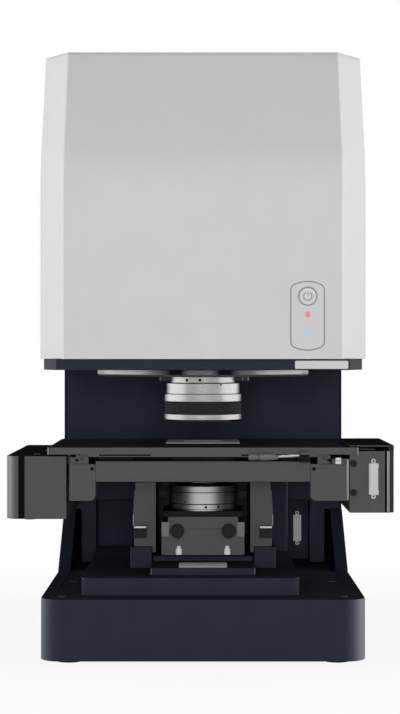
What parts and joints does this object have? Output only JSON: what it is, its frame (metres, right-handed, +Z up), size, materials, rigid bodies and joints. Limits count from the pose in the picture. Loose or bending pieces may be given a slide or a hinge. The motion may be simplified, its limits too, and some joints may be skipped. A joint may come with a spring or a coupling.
{
  "type": "infrared microscope",
  "caption": "Upright infrared microscope: moulded head over a column and base, reflecting objective on a turret, motorised lifting X-Y stage and a mirror condenser below.",
  "frame": {"origin": "on the table under the middle of the outer box", "axes": "+X to the right seen from the front, +Y towards the back, +Z up"},
  "size_m": [0.3874, 0.54, 0.622],
  "materials": {
    "navy_paint": "semi-matt dark navy powder coat",
    "white_cover": "fine-grained moulded white",
    "grey_cover": "fine-grained moulded light grey",
    "stage_grey": "grey anodised, bead blasted",
    "stage_black": "black anodised, satin",
    "satin_silver": "turned and satin anodised",
    "ground_steel": "ground",
    "disc_metal": "satin, turned",
    "connector_metal": "tinned shell",
    "foot_rubber": "moulded matt",
    "grip_black": "fine ribbed, matt",
    "black_plastic": "moulded matt",
    "panel_film": "printed film, satin",
    "button_grey": "satin",
    "lamp_glass": "diffusing lamp window",
    "mirror_coat": "polished, coated",
    "board_green": "circuit board",
    "inner_metal": "machined",
    "motor_black": "black motor body"
  },
  "bodies": {
    "stand": {"base_housing": "navy_paint", "base_cover": "navy_paint", "base_floor": "stage_black", "base_screws": "ground_steel", "rubber_feet": "foot_rubber", "pedestal": "navy_paint", "pedestal_blocks": "navy_paint", "slide_plate": "satin_silver", "lift_tower": "navy_paint", "lift_guides": "ground_steel", "lift_drive": "motor_black", "column_shell": "navy_paint", "stand_connectors": "connector_metal", "beam_port_flange": "stage_black", "rear_panel": "navy_paint", "mains_inlet": "black_plastic", "electronics": "board_green", "head_plate": "navy_paint", "main_cover": "white_cover", "front_cover": "grey_cover", "control_panel": "panel_film", "indicator_lamps": "lamp_glass", "optical_bench": "inner_metal", "aperture_unit": "stage_black", "viewing_camera": "black_plastic", "detector_dewar": "inner_metal", "turret_axle": "ground_steel"},
    "turret": {"turret_disc": "disc_metal", "port_caps": "black_plastic", "objective_holder": "stage_black", "objective_barrel": "satin_silver", "objective_mirrors": "mirror_coat"},
    "collar": {"grip_ring": "grip_black"},
    "lift": {"uprights": "stage_grey", "crosshead": "stage_grey", "stage_floor": "stage_black", "left_drive_cover": "stage_grey", "y_drive": "stage_black"},
    "lift_spindle": {"lift_screw": "ground_steel"},
    "y_spindle": {"y_screw": "ground_steel"},
    "y_stage": {"stage_frame": "stage_grey", "frame_runners": "stage_grey", "right_drive_cover": "stage_grey", "stage_connectors": "connector_metal", "x_motor": "motor_black"},
    "x_spindle": {"x_screw": "ground_steel"},
    "x_stage": {"stage_plate": "stage_black", "plate_runners": "stage_grey", "stage_insert": "stage_black", "specimen_holder": "inner_metal"},
    "lever": {"sample_lever": "stage_grey"},
    "condenser": {"condenser_block": "stage_grey", "condenser_plate": "stage_black", "condenser_ring": "satin_silver", "condenser_mirrors": "mirror_coat", "condenser_fittings": "satin_silver"},
    "knob_right": {"right_knob": "black_plastic"},
    "knob_left": {"left_knob": "black_plastic"},
    "button": {"power_button": "button_grey"},
    "rocker": {"mains_rocker": "black_plastic"}
  },
  "joints": [
    {"name": "turret_turn", "type": "hinge", "parent": "stand", "child": "turret", "pos_m": [0.0029, -0.078, 0.2864], "axis": [0, 0, 1], "continuous": true},
    {"name": "collar_turn", "type": "hinge", "parent": "turret", "child": "collar", "pos_m": [0.0029, -0.15, 0.255], "axis": [0, 0, 1], "range_deg": [-60, 60]},
    {"name": "stage_lift", "type": "slide", "parent": "stand", "child": "lift", "axis": [0, 0, 1], "range_m": [0, 0.018]},
    {"name": "lift_screw_turn", "type": "hinge", "parent": "stand", "child": "lift_spindle", "pos_m": [0.0029, 0.025, 0.12], "axis": [0, 0, 1], "range_deg": [-180, 1621]},
    {"name": "y_travel", "type": "slide", "parent": "lift", "child": "y_stage", "axis": [0, 1, 0], "range_m": [-0.025, 0.025]},
    {"name": "y_screw_turn", "type": "hinge", "parent": "lift", "child": "y_spindle", "pos_m": [-0.1651, -0.15, 0.19], "axis": [0, 1, 0], "range_deg": [-2251, 2251]},
    {"name": "x_travel", "type": "slide", "parent": "y_stage", "child": "x_stage", "axis": [1, 0, 0], "range_m": [-0.03, 0.03]},
    {"name": "x_screw_turn", "type": "hinge", "parent": "y_stage", "child": "x_spindle", "pos_m": [0.0029, -0.11, 0.193], "axis": [1, 0, 0], "range_deg": [-2701, 2701]},
    {"name": "lever_swing", "type": "hinge", "parent": "x_stage", "child": "lever", "pos_m": [0.1029, -0.261, 0.208], "axis": [0, 0, 1], "range_deg": [0, 60]},
    {"name": "condenser_focus", "type": "slide", "parent": "stand", "child": "condenser", "axis": [0, 0, 1], "range_m": [-0.003, 0.006]},
    {"name": "right_knob_turn", "type": "hinge", "parent": "condenser", "child": "knob_right", "pos_m": [0.0294, -0.185, 0.1279], "axis": [0, 1, 0], "range_deg": [-180, 180]},
    {"name": "left_knob_turn", "type": "hinge", "parent": "condenser", "child": "knob_left", "pos_m": [-0.0236, -0.185, 0.1279], "axis": [0, 1, 0], "range_deg": [-180, 180]},
    {"name": "power_button_press", "type": "slide", "parent": "stand", "child": "button", "axis": [0, 1, 0], "range_m": [0, 0.0015], "stiffness_N_per_m": 400, "springref_m": -0.001},
    {"name": "mains_rocker_tilt", "type": "hinge", "parent": "stand", "child": "rocker", "pos_m": [-0.0471, 0.258, 0.11], "axis": [1, 0, 0], "range_deg": [-10, 10]}
  ],
  "couplings": [
    {"joint": "lift_screw_turn", "follows": "stage_lift", "rad_per_m": 1256.6},
    {"joint": "y_screw_turn", "follows": "y_travel", "rad_per_m": 1256.6},
    {"joint": "x_screw_turn", "follows": "x_travel", "rad_per_m": 1256.6}
  ]
}
